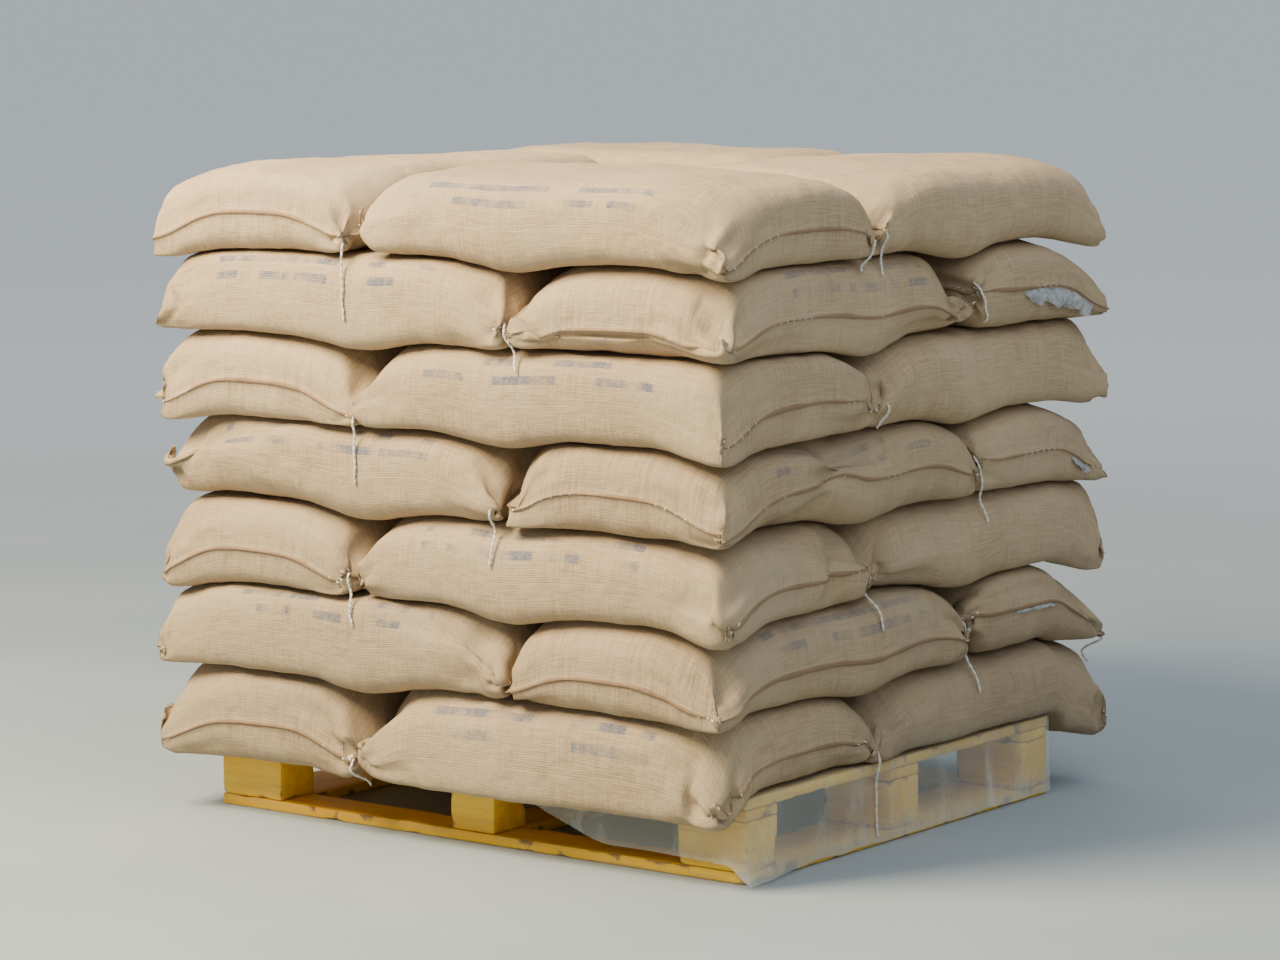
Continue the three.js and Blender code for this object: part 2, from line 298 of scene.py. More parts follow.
class Shade:
    """A socket of a material's nodes. Sums on it add Math nodes."""

    def __init__(self, look, socket):
        self.look = look
        self.socket = socket

    def math(self, operation, *values):
        return self.look.node("ShaderNodeMath", {"operation": operation}, dict(enumerate(values)))

    def __add__(self, other):
        return self.math("ADD", self, other)

    def __sub__(self, other):
        return self.math("SUBTRACT", self, other)

    def __rsub__(self, other):
        return self.math("SUBTRACT", other, self)

    def __mul__(self, other):
        return self.math("MULTIPLY", self, other)

    def __pow__(self, other):
        return self.math("POWER", self, other)

    def __abs__(self):
        return self.math("ABSOLUTE", self)

    __radd__ = __add__
    __rmul__ = __mul__

    def sine(self):
        return self.math("SINE", self)

    def ramp(self, low, high):
        """0 below low, 1 above high, smooth between."""
        settings = {"interpolation_type": "SMOOTHSTEP"}
        values = {"Value": self, "From Min": low, "From Max": high}
        return self.look.node("ShaderNodeMapRange", settings, values)


class Look:
    """A material, filled by calls that add its nodes."""

    def __init__(self, name):
        self.material = bpy.data.materials.new(name)
        self.material.use_nodes = True
        self.tree = self.material.node_tree
        self.tree.nodes.clear()

    def node(self, kind, settings=None, inputs=None, out=0):
        made = self.tree.nodes.new(kind)
        for key, value in (settings or {}).items():
            setattr(made, key, value)
        for key, value in (inputs or {}).items():
            if isinstance(value, Shade):
                self.tree.links.new(value.socket, made.inputs[key])
            else:
                made.inputs[key].default_value = value
        return Shade(self, made.outputs[out]) if made.outputs else made

    def place(self):
        return self.node("ShaderNodeTexCoord", out="Object")

    def cloth(self):
        return self.node("ShaderNodeUVMap", {"uv_map": "cloth"})

    def painted(self, name):
        return self.node("ShaderNodeAttribute", {"attribute_name": name}, out="Fac")

    def scaled(self, vector, scale, shift=(0, 0, 0)):
        inputs = {"Vector": vector, "Scale": scale, "Location": shift}
        return self.node("ShaderNodeMapping", None, inputs)

    def split(self, vector, axis):
        return self.node("ShaderNodeSeparateXYZ", None, {"Vector": vector}, out=axis)

    def grain(self, vector, scale=1.0, detail=2.0, roughness=0.5):
        inputs = {"Vector": vector, "Scale": scale, "Detail": detail, "Roughness": roughness}
        return self.node("ShaderNodeTexNoise", None, inputs)

    def grey(self, value):
        return self.node("ShaderNodeCombineColor", None, dict.fromkeys(range(3), value))

    def mix(self, factor, first, second, blend="MIX"):
        settings = {"data_type": "RGBA", "blend_type": blend, "clamp_factor": True}
        return self.node("ShaderNodeMix", settings, {0: factor, 6: first, 7: second}, out=2)

    def bump(self, height):
        inputs = {"Height": height, "Distance": 1.0, "Strength": 1.0}
        return self.node("ShaderNodeBump", None, inputs)

    def finish(self, **sockets):
        names = {key.replace("_", " "): value for key, value in sockets.items()}
        surface = self.node("ShaderNodeBsdfPrincipled", None, names)
        self.node("ShaderNodeOutputMaterial", None, {"Surface": surface})
        return self.material


def weave(look, cloth, across, along):
    """The round backs of the threads, and the thick and thin stretches of their yarn."""
    warp = look.grain(look.scaled(cloth, (1 / THREAD_PITCH, 14, 1)), detail=1)
    weft = look.grain(look.scaled(cloth, (16, 1 / THREAD_PITCH, 1)), detail=1)
    turns = math.pi / THREAD_PITCH
    crossing = abs((across * turns).sine() * (along * turns).sine())
    return crossing ** 0.5, warp * 0.5 + weft * 0.5


def worn_marks(look, across, along, place):
    """Two rows of faded plain ink bars near one long edge of the cloth, with no letters in them."""
    row = along * (1 / MARK_ROW)
    rows = (row * (2 * math.pi)).sine().ramp(0.0, 0.35)
    band = along.ramp(*MARKS_LOW) * (1 - along.ramp(*MARKS_HIGH))
    line = row.math("FLOOR", row) * 5 + look.painted("batch")
    spot = look.node("ShaderNodeCombineXYZ", None, {"X": across * 11, "Y": line})
    spans = look.grain(spot, 1.0, detail=1).ramp(0.46, 0.49)
    strokes = look.node("ShaderNodeCombineXYZ", None, {"X": across * 60, "Z": line})
    broken = look.grain(strokes, 1.0, detail=1).ramp(0.38, 0.47)
    ends = across.ramp(*MARKS_START) * (1 - across.ramp(*MARKS_END))
    wear = look.grain(place, 16.0, detail=4, roughness=0.65).ramp(0.36, 0.60)
    rough = look.grain(place, 420.0, detail=2, roughness=0.5).ramp(0.36, 0.60)
    bars = rows * band * spans * ends * (0.75 + broken * 0.25)
    return bars * (0.15 + wear * 0.85) * (0.4 + rough * 0.6)


def jute():
    look = Look("jute_weave")
    cloth = look.cloth()
    place = look.place()
    across, along = look.split(cloth, "X"), look.split(cloth, "Y")
    threads, slub = weave(look, cloth, across, along)
    blotch = look.grain(place, 5.5, detail=3)
    stain = look.grain(look.scaled(place, (1, 1, 1.6), (3, 1, 7)), 2.3, detail=4, roughness=0.62)
    fibres = look.mix(slub.ramp(0.36, 0.64), JUTE_DARK, JUTE_LIGHT)
    body = look.mix(0.5, JUTE_MID, fibres)
    body = look.mix(blotch.ramp(0.35, 0.7) * 0.45, body, JUTE_LIGHT)
    body = look.mix(stain.ramp(0.52, 0.72) * 0.4, body, JUTE_GREY)
    # Painted shade: the hollows between the crossing threads are darkened.
    body = look.mix((1 - threads) * 0.35, body, JUTE_DARK)
    # The sewn lips darkened: partly their own browner cloth, partly painted shade standing in for the
    # shadow line under them.
    body = look.mix(look.painted("seam").ramp(0.0, 0.7) * 0.8, body, SEAM_BROWN_AND_SHADE)
    body = look.mix(worn_marks(look, across, along, place) * look.painted("ink"), body, INK)
    # Each sack's colour times its tone: random from sack to sack, with painted shade making the lower
    # layers darker.
    body = look.mix(1.0, body, look.grey(look.painted("tone_and_layer_shade")), "MULTIPLY")
    lumps = look.grain(place, 42.0, detail=2)
    ends = 1 - across.ramp(0.0, PUCKER_BAND) * (1 - across.ramp(CUT[0] - PUCKER_BAND, CUT[0]))
    puckers = look.grain(look.scaled(cloth, (7, 38, 1)), detail=2) * ends
    height = threads * 0.0007 + slub * 0.0011 + lumps * 0.0035 + puckers * 0.009
    normal = look.bump(height)
    return look.finish(Base_Color=body, Roughness=0.92, Normal=normal, Specular_IOR_Level=0.2)


def twine():
    look = Look("white_twine")
    fluff = look.grain(look.place(), 900.0, detail=2)
    body = look.mix(fluff.ramp(0.3, 0.7), TWINE_SHADE, TWINE_COLOUR)
    return look.finish(Base_Color=body, Roughness=0.85, Normal=look.bump(fluff * 0.0008))


def painted_timber(name, grain_axis):
    """Orange-yellow paint over sawn timber, worn at the arrises and dirty low down."""
    look = Look(name)
    place = look.place()
    stretch = [90, 90, 90]
    stretch[grain_axis] = 3.5
    fibre = look.grain(look.scaled(place, stretch), 1.0, detail=4, roughness=0.6)
    rings = look.grain(look.scaled(place, [s * 0.25 for s in stretch], (4, 2, 1)), 1.0, detail=2)
    patch = look.grain(place, 9.0, detail=4, roughness=0.6)
    scuff = look.grain(place, 55.0, detail=3, roughness=0.65)
    coat = look.mix(patch.ramp(0.35, 0.68), PAINT, PAINT_PALE)
    coat = look.mix(rings.ramp(0.40, 0.64) * 0.55, coat, PAINT_DEEP)
    coat = look.mix(fibre.ramp(0.50, 0.72) * 0.55, coat, BARE_WOOD)
    bare = look.mix(rings.ramp(0.35, 0.65), BARE_WOOD, WOOD_RINGS)
    chipped = (look.painted("worn") * 0.60 + scuff * 0.55 + patch * 0.35).ramp(0.89, 1.04)
    low = 1 - look.split(place, "Z").ramp(0.0, 0.10)
    grime = (low * 0.2 + patch * 0.5 + scuff * 0.4).ramp(0.52, 0.95)
    body = look.mix(grime * 0.25, look.mix(chipped, coat, bare), DIRT)
    roughness = 0.55 + grime * 0.3 + chipped * 0.12
    height = fibre * 0.0018 + rings * 0.0010 - chipped * 0.0005
    return look.finish(Base_Color=body, Roughness=roughness, Normal=look.bump(height))


def nail_steel():
    look = Look("nail_steel")
    spots = look.grain(look.place(), 400.0, detail=2)
    body = look.mix(spots.ramp(0.4, 0.6), STEEL, RUST)
    return look.finish(Base_Color=body, Roughness=0.5 + spots * 0.3, Metallic=0.7)


def clear_film():
    look = Look("clear_film")
    place = look.place()
    creases = look.grain(look.scaled(place, (15, 15, 5)), 1.0, detail=4, roughness=0.6)
    haze = look.grain(place, 7.0, detail=3)
    dust = 1 - look.split(place, "Z").ramp(0.01, 0.07)
    # Painted highlights: pale vertical streaks on the film, which is also made more opaque along them.
    highlight_streaks = look.grain(look.scaled(place, (26, 26, 3)), 1.0, detail=3).ramp(0.48, 0.80)
    body = look.mix(haze.ramp(0.4, 0.7), FILM_COLOUR, FILM_DUSTY)
    body = look.mix(highlight_streaks * 0.5, body, FILM_STREAK_HIGHLIGHT)
    alpha = 0.25 + creases.ramp(0.50, 0.80) * 0.16 + haze * 0.12 + dust * 0.16 + highlight_streaks * 0.12
    return look.finish(Base_Color=body, Roughness=0.26, Alpha=alpha, Normal=look.bump(creases * 0.003))


def liner_film():
    look = Look("liner_film")
    creases = look.grain(look.place(), 120.0, detail=4)
    # Painted shade: the liner is darker in the hollows of its crumples.
    body = look.mix(creases.ramp(0.3, 0.7), LINER_SHADE, LINER_COLOUR)
    return look.finish(Base_Color=body, Roughness=0.3, Alpha=0.88, Normal=look.bump(creases * 0.003))


def floor_finish():
    look = Look("pale_floor")
    place = look.place()
    cloud = look.grain(place, 1.2, detail=3)
    near = look.mix(cloud.ramp(0.3, 0.7), FLOOR_DARK, FLOOR_LIGHT)
    away = look.node("ShaderNodeVectorMath", {"operation": "LENGTH"}, {"Vector": place}, out="Value")
    # Painted light: the floor turns paler with distance from the middle, standing in for light on the
    # far floor.
    body = look.mix(away.ramp(1.5, 9.0), near, FLOOR_FAR_PAINTED_LIGHT)
    return look.finish(Base_Color=body, Roughness=0.8)


def number_by_place(mesh):
    """Numbers points and faces by their place. An extrude numbers them anew on each run, and the
    filling of a bag would come out differently."""
    co = points_of(mesh)
    order = np.lexsort(np.round(co, 5).T)
    rank = np.argsort(order)
    faces = []
    for face in mesh.polygons:
        ring = [int(rank[v]) for v in face.vertices]
        first = ring.index(min(ring))
        faces.append(ring[first:] + ring[:first])
    mesh.clear_geometry()
    mesh.from_pydata(co[order].tolist(), [], sorted(faces))
    mesh.update()


def lay_cloth_map(mesh):
    """The cloth's own metres as its UV map: the upper sheet, and the lower one a metre away."""
    layer = mesh.uv_layers.new(name="cloth")
    for face in mesh.polygons:
        lower = face.normal.z < -0.5
        for index, v in zip(face.loop_indices, face.vertices):
            x, y, _ = mesh.vertices[v].co
            layer.data[index].uv = ((x + 0.5) * CUT[0], (y + 0.5) * CUT[1] - lower)


def flat_bag(name, seed, where, dent):
    """Jute laid double and joined round its rim, small enough at first to lie inside its cell."""
    start = [side * START_SHARE for side in CUT]
    bpy.ops.mesh.primitive_grid_add(x_subdivisions=CELLS[0], y_subdivisions=CELLS[1], size=1)
    bag = bpy.context.object
    bag.name = bag.data.name = name
    bpy.ops.object.mode_set(mode="EDIT")
    bpy.ops.mesh.select_all(action="SELECT")
    bpy.ops.mesh.extrude_region_move(TRANSFORM_OT_translate={"value": (0, 0, -HEM)})
    bpy.ops.mesh.select_all(action="SELECT")
    bpy.ops.mesh.normals_make_consistent(inside=False)
    bpy.ops.object.mode_set(mode="OBJECT")
    number_by_place(bag.data)
    lay_cloth_map(bag.data)
    co = points_of(bag.data)
    rise = np.maximum(np.cos(math.pi * co[:, 0]) * np.cos(math.pi * co[:, 1]), 0)
    top = co[:, 2] > -HEM / 2
    spots = np.column_stack([co[:, 0] * start[0], co[:, 1] * start[1], top * 0.8])
    dents = wander(spots, DENT_SIZE, seed)
    co[:, 2] += np.where(top, PUFF, -PUFF) * (rise**0.5 + dent * dents * rise**0.3) + PITCH / 2
    co[:, 0] = co[:, 0] * start[0] + where[0]
    co[:, 1] = co[:, 1] * start[1] + where[1] - OUTER_ROOM / 2
    set_points(bag.data, co)
    return bag


def press(places):
    """The plates above and below the bags, and the walls where each has its neighbours."""
    half_turn, quarter = math.pi, math.pi / 2
    bpy.ops.mesh.primitive_plane_add(size=PLATE_SIZE, location=(*PLATE_CENTRE, -CLOTH_GAP))
    walls = bpy.context.object
    bpy.ops.object.mode_set(mode="EDIT")
    above = (*PLATE_CENTRE, PITCH + CLOTH_GAP)
    bpy.ops.mesh.primitive_plane_add(size=PLATE_SIZE, location=above, rotation=(half_turn, 0, 0))
    mid = PITCH / 2
    end, side = SACK_LENGTH / 2 + CLOTH_GAP, SACK_WIDTH / 2 + CLOTH_GAP
    for x, y in places:
        walls_here = (
            ((x - end, y, mid), (0, quarter, 0), END_WALL),
            ((x + end + OUTER_ROOM, y, mid), (0, -quarter, 0), END_WALL),
            ((x, y - side - OUTER_ROOM, mid), (-quarter, 0, 0), SIDE_WALL),
            ((x, y + side, mid), (quarter, 0, 0), SIDE_WALL),
        )
        for place, turn, size in walls_here:
            bpy.ops.mesh.primitive_plane_add(size=size, location=place, rotation=turn)
    bpy.ops.object.mode_set(mode="OBJECT")
    walls.modifiers.new("Collision", "COLLISION")
    walls.collision.thickness_outer = 0.002
    walls.collision.thickness_inner = 0.05
    walls.collision.cloth_friction = 5.0
    return walls


def add_cloth(bag, pressure):
    modifier = bag.modifiers.new("Cloth", "CLOTH")
    s = modifier.settings
    s.quality = 5
    s.mass = 0.3
    s.tension_stiffness = 15
    s.compression_stiffness = 5
    s.shear_stiffness = 2
    s.bending_stiffness = 0.2
    s.tension_damping = s.compression_damping = s.shear_damping = 10
    s.air_damping = 2
    s.shrink_min = 1 - 1 / START_SHARE
    s.use_pressure = True
    s.uniform_pressure_force = pressure
    s.effector_weights.gravity = 0
    modifier.collision_settings.distance_min = 0.003
    modifier.collision_settings.collision_quality = 2
    modifier.point_cache.frame_end = FRAMES


def fill_bags(bags):
    """Blows all the bags up together. Each ends as a sack pressed between the plates."""
    rng = random.Random(11)
    for bag in bags[:-TOP_BAGS]:
        add_cloth(bag, rng.uniform(*PRESSURES))
    for bag in bags[-TOP_BAGS:]:
        add_cloth(bag, TOP_PRESSURE)
    scene = bpy.context.scene
    for number in range(1, FRAMES + 1):
        scene.frame_set(number)
    for bag in bags:
        select_only(bag)
        bpy.ops.object.modifier_apply(modifier="Cloth")
    scene.frame_set(1)


def rim_faces(mesh):
    """The narrow faces of the rim, as lists of indices for each of its four sides."""
    sides = {"mouth": [], "base": [], "seam": [], "fold": []}
    for face in mesh.polygons:
        if abs(face.normal.z) > 0.5:
            continue
        if abs(face.normal.x) > 0.5:
            sides["base" if face.normal.x < 0 else "mouth"].append(face.index)
        else:
            sides["fold" if face.normal.y < 0 else "seam"].append(face.index)
    return sides


def stitch_places(mesh, faces):
    """The middle of each of these narrow faces, the way out from it and the way along it."""
    places = []
    for index in faces:
        face = mesh.polygons[index]
        corners = [mesh.vertices[v].co for v in face.vertices]
        start, end = sorted(corners, key=lambda p: p.z)[-2:]
        places.append((face.center.copy(), face.normal.copy(), (end - start).normalized()))
    return places


def sewn_lips(sack, faces):
    """Draws the joined edges out into a narrow lip."""
    mesh = sack.data
    select_only(sack)
    bpy.ops.object.mode_set(mode="EDIT")
    bm = bmesh.from_edit_mesh(mesh)
    bm.select_mode = {"FACE"}
    bm.faces.ensure_lookup_table()
    wanted = set(faces)
    for face in bm.faces:
        face.select_set(face.index in wanted)
    bm.select_flush_mode()
    bmesh.update_edit_mesh(mesh)
    bpy.ops.mesh.extrude_region_shrink_fatten(TRANSFORM_OT_shrink_fatten={"value": SEAM_REACH})
    bpy.ops.object.mode_set(mode="OBJECT")
    on_lip = np.zeros(len(mesh.vertices), bool)
    for face in mesh.polygons:
        if face.select:
            on_lip[list(face.vertices)] = True
    # The lip's mask, which the jute darkens: partly the seam's own colour, partly painted shade.
    paint(mesh, "seam", on_lip.astype(np.float32))


def add_stitches(sack, places, rng):
    """A pointed stitch above and below the lip at each place, as a second material of the sack."""
    bm = bmesh.new()
    bm.from_mesh(sack.data)
    for centre, out, run in places:
        up = out.cross(run)
        slant = (run + out * rng.uniform(0.2, 0.5)).normalized()
        for side in (up, -up):
            middle = centre + out * (SEAM_REACH * 0.45) + side * STITCH_LIFT
            tips = [bm.verts.new(middle + slant * (STITCH_REACH * s)) for s in (-1, 1)]
            across = slant.cross(side)
            waist = [bm.verts.new(middle + side * a + across * b) for a, b in STITCH_SECTION]
            for i in range(4):
                for tip in tips:
                    face = bm.faces.new((waist[i], waist[(i + 1) % 4], tip))
                    face.material_index = 1
    made = [f for f in bm.faces if f.material_index == 1]
    bmesh.ops.recalc_face_normals(bm, faces=made)
    bm.to_mesh(sack.data)
    bm.free()


def droop_past_pallet(x, y):
    """How far the load sinks where it passes the pallet's edge."""
    past_x = np.maximum(np.maximum(x - DECK_HIGH.x, DECK_LOW.x - x), 0)
    past_y = np.maximum(np.maximum(y - DECK_HIGH.y, DECK_LOW.y - y), 0)
    past = np.hypot(past_x, past_y)
    return sum(depth * smooth(start, end, past) for depth, start, end in OVERHANG_DROOPS)


def level(k, x, y):
    """The height of the surface between layer k and the one above it: low along the load's edges and in
    the crevices between the sacks of layer k."""
    x, y = np.clip(x, -HALF, HALF), np.clip(y, -HALF, HALF)
    flat = LOAD_FLOOR + k * PITCH
    droop = OVERHANG_SHARE[k] * droop_past_pallet(x, y)
    if k == 0:
        return flat - droop
    turn = 1 if k % 2 else -1
    faces = ((x, y + HALF, -turn), (y, HALF - x, -turn), (x, HALF - y, turn), (y, x + HALF, turn))
    nearest = HALF - np.maximum(np.abs(x), np.abs(y))
    sag = droop + EDGE_DROOP * (1 - smooth(0, EDGE_BAND, nearest))
    for along, depth, sign in faces:
        near = 1 - smooth(0, JUNCTION_DEPTH, depth)
        sag = sag + JUNCTION_DIP * near * np.exp(-(((along - sign * JUNCTION) / JUNCTION_SPREAD) ** 2))
    corner = np.hypot(HALF - np.abs(x), HALF - np.abs(y))
    return flat - sag - CORNER_DROP[k] * np.exp(-((corner / CORNER_SPREAD) ** 2))


def placing(k, side):
    """The matrix from a sack's own cell to its place in layer k, which is mirrored in even layers."""
    mirrored = k % 2 == 0
    order = ("front", "left", "back", "right") if mirrored else SIDES
    quarters = order.index(side)
    matrix = Matrix.Rotation(quarters * math.pi / 2, 4, "Z") @ Matrix.Translation(CELL_CENTRE)
    return Matrix.Diagonal((-1, 1, 1, 1)) @ matrix if mirrored else matrix


def slumped(co, k, side, rng):
    """How far up its layer each point of a sack ends. The filling slumps, so the rim and the ears lie
    low, and the back sacks of the even layers are twisted at the mouth."""
    t = np.clip(co[:, 2] / PITCH, 0, 1)
    out_x, out_y = SACK_LENGTH / 2 - np.abs(co[:, 0]), SACK_WIDTH / 2 - np.abs(co[:, 1])
    power = rng.uniform(*RIM_SLUMP) * (1 - smooth(0, RIM_BAND, np.minimum(out_x, out_y)))
    fill = CORNER_FILL
    if k == 1:
        power *= FIRST_LAYER_SLUMP
        fill *= FIRST_LAYER_FILL
    twisted = side == "back" and k % 2 == 0
    for sx, sy in EARS:
        drop = rng.uniform(*(MOUTH_EAR_DROP if sx > 0 else BASE_EAR_DROP))
        if twisted and sx > 0:
            drop = TWISTED_EAR_DROP[sy]
        if side == "front" and k % 2 and (sx, sy) == (1, 1):
            drop *= NEAR_EAR_SHARE
        away = np.hypot(co[:, 0] - sx * SACK_LENGTH / 2, co[:, 1] - sy * SACK_WIDTH / 2)
        power += drop * np.exp(-((away / EAR_SPREAD) ** 2))
        pull = fill * np.exp(-((away / FILL_SPREAD) ** 2)) * (1 - t)
        co[:, 0] += sx * pull
        co[:, 1] += sy * pull
    t = t ** (1 + power)
    if twisted:
        near_mouth = smooth(*MOUTH_BAND, co[:, 0])
        t = t * (1 - rng.uniform(*MOUTH_SINK) * near_mouth * smooth(-0.02, 0.25, -co[:, 1]))
        co[:, 1] += MOUTH_LEAN * t * near_mouth * smooth(0.0, 0.2, co[:, 1])
    return t


def laid_in_layer(co, t, k, side, rng):
    """The points of a sack at its place in the load, a little turned and slipped."""
    yaw = math.radians(rng.uniform(-YAW, YAW))
    slip = (rng.uniform(*SLIP_ALONG), rng.uniform(*SLIP_OUT), 0)
    own = Matrix.Translation(slip) @ Matrix.Rotation(yaw, 4, "Z")
    matrix = np.array(placing(k, side) @ own)
    co = co @ matrix[:3, :3].T + matrix[:3, 3]
    low, high = level(k - 1, co[:, 0], co[:, 1]), level(k, co[:, 0], co[:, 1])
    co[:, 2] = low * (1 - t) + high * t
    return co


def swollen(co, normal, t, k, seed):
    """The points with the lumps of the filling, and with the bulges past the load's faces pulled in."""
    swell = sum(height * wander(co, size, seed + shift) for height, size, shift in SWELLS)
    free = t if k == LAYERS else np.minimum(t, 1 - t)
    co = co + normal * (swell * smooth(0, SWELL_BAND, free))[:, None]
    if k == LAYERS:
        hollow = TOP_DENT * (1 + wander(co, TOP_DENT_SIZE, seed + 80))
        co[:, 2] -= hollow * smooth(0.6, 1.0, t)
    for axis in (0, 1):
        reach = np.abs(co[:, axis]) - HALF
        co[:, axis] -= np.sign(co[:, axis]) * np.maximum(reach - BULGE_ROOM, 0) * BULGE_CUT
    return co


def ink_left(k, side):
    """How much of the ink shows. On the right face the long sacks of the odd layers have it inwards."""
    if side == "right":
        return 0.0 if k % 2 else 0.6
    return 1.0


def settle(sack, k, side, rng):
    """Moves a filled sack to its place, with the sag, the lumps and the slips of a stacked one, and
    returns where its ears are."""
    mesh = sack.data
    seed = k * 7 + SIDES.index(side)
    co = points_of(mesh)
    along, across = co[:, 0] / SACK_LENGTH, co[:, 1] / SACK_WIDTH
    tips = {(sx, sy): np.argmax(sx * along + sy * across) for sx, sy in EARS}
    t = slumped(co, k, side, rng)
    co = laid_in_layer(co, t, k, side, rng)
    set_points(mesh, co)
    if k % 2 == 0:
        mesh.flip_normals()
    co = swollen(co, normals_of(mesh), t, k, seed)
    set_points(mesh, co)
    # A random tone for each sack, with painted shade that is darker the lower its layer.
    paint(mesh, "tone_and_layer_shade", rng.uniform(*TONES) * (LOW_LAYER_SHADE + LAYER_SHADE_STEP * k))
    paint(mesh, "batch", seed * 2.3)
    paint(mesh, "ink", ink_left(k, side))
    return {(k, side, ear): Vector(co[index]) for ear, index in tips.items()}


def sew_and_stack(sack, rim, k, side, finishes, rng):
    """Gives a filled bag its seams, its finishes and its place, and returns where its ears are."""
    sewn = rim["base"] + rim["mouth"] + rim["seam"]
    if side == "right" and k % 2 == 0:
        sewn += rim["fold"]
    places = stitch_places(sack.data, sewn)
    sewn_lips(sack, sewn)
    finish_modifier(sack, "SUBSURF", levels=1, render_levels=1)
    add_stitches(sack, places, rng)
    for finish in finishes:
        sack.data.materials.append(finish)
    ears = settle(sack, k, side, rng)
    sack.data.shade_smooth()
    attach(sack, "root")
    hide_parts("sack_%d_%s" % (k, side))
    return ears


def sacks(finishes):
    """All the sacks, and where the ears of each are."""
    names = [(k, side) for k in range(1, LAYERS + 1) for side in SIDES]
    step_x, step_y = BAG_SPACING
    places = [(step_x * (i % LAYERS), step_y * (i // LAYERS)) for i in range(len(names))]
    dents = [TOP_LAYER_DENTS if k == LAYERS else DENTS for k, side in names]
    bags = [flat_bag("jute_sack_%d_%s" % name, i, at, dent)
            for i, (name, at, dent) in enumerate(zip(names, places, dents))]
    rims = [rim_faces(bag.data) for bag in bags]
    plates = press(places)
    fill_bags(bags)
    bpy.data.objects.remove(plates)
    rng = random.Random(5)
    ears = {}
    for (k, side), (x, y), sack, rim in zip(names, places, bags, rims):
        sack.data.transform(Matrix.Translation((-x, -y, 0)))
        ears.update(sew_and_stack(sack, rim, k, side, finishes, rng))
    return bags, ears


def cut_across(o, axis, size):
    """Cuts the long edges that run along one axis into short steps."""
    bpy.ops.object.mode_set(mode="EDIT")
    bm = bmesh.from_edit_mesh(o.data)
    bm.select_mode = {"EDGE"}
    for edge in bm.edges:
        run = edge.verts[1].co - edge.verts[0].co
        edge.select_set(abs(run[axis]) > 0.9 * run.length and run.length > 2 * TIMBER_STEP)
    bmesh.update_edit_mesh(o.data)
    bpy.ops.mesh.subdivide(number_cuts=max(1, round(size / TIMBER_STEP)))
    bpy.ops.object.mode_set(mode="OBJECT")


def eased_block(name, low, high):
    """A block between two corners, with eased arrises and its long edges cut into short steps."""
    size = high - low
    select_only()
    bpy.ops.mesh.primitive_cube_add(size=1, location=(0, 0, 0))
    piece = bpy.context.object
    piece.name = piece.data.name = name
    piece.data.transform(Matrix.Translation((low + high) / 2) @ Matrix.Diagonal((*size, 1)))
    bpy.ops.object.mode_set(mode="EDIT")
    bpy.ops.mesh.select_all(action="SELECT")
    bpy.ops.mesh.bevel(offset=ARRIS, segments=2, affect="EDGES")
    bpy.ops.object.mode_set(mode="OBJECT")
    for axis in range(3):
        cut_across(piece, axis, size[axis])
    return piece


def weather(piece, low, high, seed):
    """Faint saw waves and bruised edges, and the wear for the paint to read."""
    co = points_of(piece.data)
    inset = np.minimum(co - np.array(low), np.array(high) - co)
    edge = 1 - smooth(*WORN_EDGE, np.sort(inset, axis=1)[:, 1])
    bruise = smooth(0.15, 0.6, wander(co, BRUISE_SIZE, seed)) * edge
    depth = BRUISE_DEPTH * bruise + SAW_WAVE * (1 + wander(co, SAW_WAVE_SIZE, seed + 9))
    inward = np.array((low + high) / 2) - co
    inward /= np.maximum(np.abs(inward), 1e-6)
    co += inward * (inset < SKIN_DEPTH) * depth[:, None]
    set_points(piece.data, co)
    paint(piece.data, "worn", np.clip(edge * 0.7 + bruise, 0, 1))


def sawn_piece(node, finish, seed):
    """A sawn piece of timber in the place of its node."""
    low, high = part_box(node)
    piece = eased_block("timber_" + node, low, high)
    weather(piece, low, high, seed)
    piece.data.materials.append(finish)
    piece.data.shade_smooth()
    select_only(piece)
    bpy.ops.object.shade_smooth_by_angle(angle=math.radians(35))
    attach(piece, "root")
    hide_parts(node)
    return piece


def pallet():
    along_x = painted_timber("painted_timber_lengthways", 0)
    along_y = painted_timber("painted_timber_across", 1)
    nodes = [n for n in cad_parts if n.split("_")[0] in ("block", "stringer", "deck", "bottom")]
    pieces = []
    for seed, node in enumerate(sorted(nodes)):
        across = node.startswith("deck_board") or node.startswith("bottom_cross")
        pieces.append(sawn_piece(node, along_y if across else along_x, seed))
    return pieces


def nail_head(name):
    bpy.ops.mesh.primitive_cylinder_add(vertices=10, radius=NAIL_RADIUS, depth=NAIL_THICKNESS)
    head = bpy.context.object
    head.name = name
    bpy.ops.object.mode_set(mode="EDIT")
    bpy.ops.mesh.select_all(action="SELECT")
    bpy.ops.mesh.bevel(offset=NAIL_THICKNESS / 3, segments=1, affect="EDGES")
    bpy.ops.object.mode_set(mode="OBJECT")
    return head


def nails(name, spots, finish):
    """One mesh of all the nail heads at these spots."""
    heads = []
    first = nail_head(name)
    for spot in spots:
        head = add_object(name, first.data.copy())
        head.data.transform(Matrix.Translation(spot))
        heads.append(head)
    bpy.data.objects.remove(first)
    select_only(*heads)
    bpy.ops.object.join()
    joined = bpy.context.object
    joined.name = joined.data.name = name
    joined.data.materials.append(finish)
    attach(joined, "root")
    return joined


def nail_pair(x, y, z, spread, rng):
    """Two nails set cornerwise about a middle, a little off as they are driven by hand."""
    spots = []
    for s in (-1, 1):
        nail_x = x + s * spread[0] + rng.uniform(-NAIL_SCATTER, NAIL_SCATTER)
        nail_y = y + s * spread[1] + rng.uniform(-NAIL_SCATTER, NAIL_SCATTER)
        spots.append((nail_x, nail_y, z))
    return spots


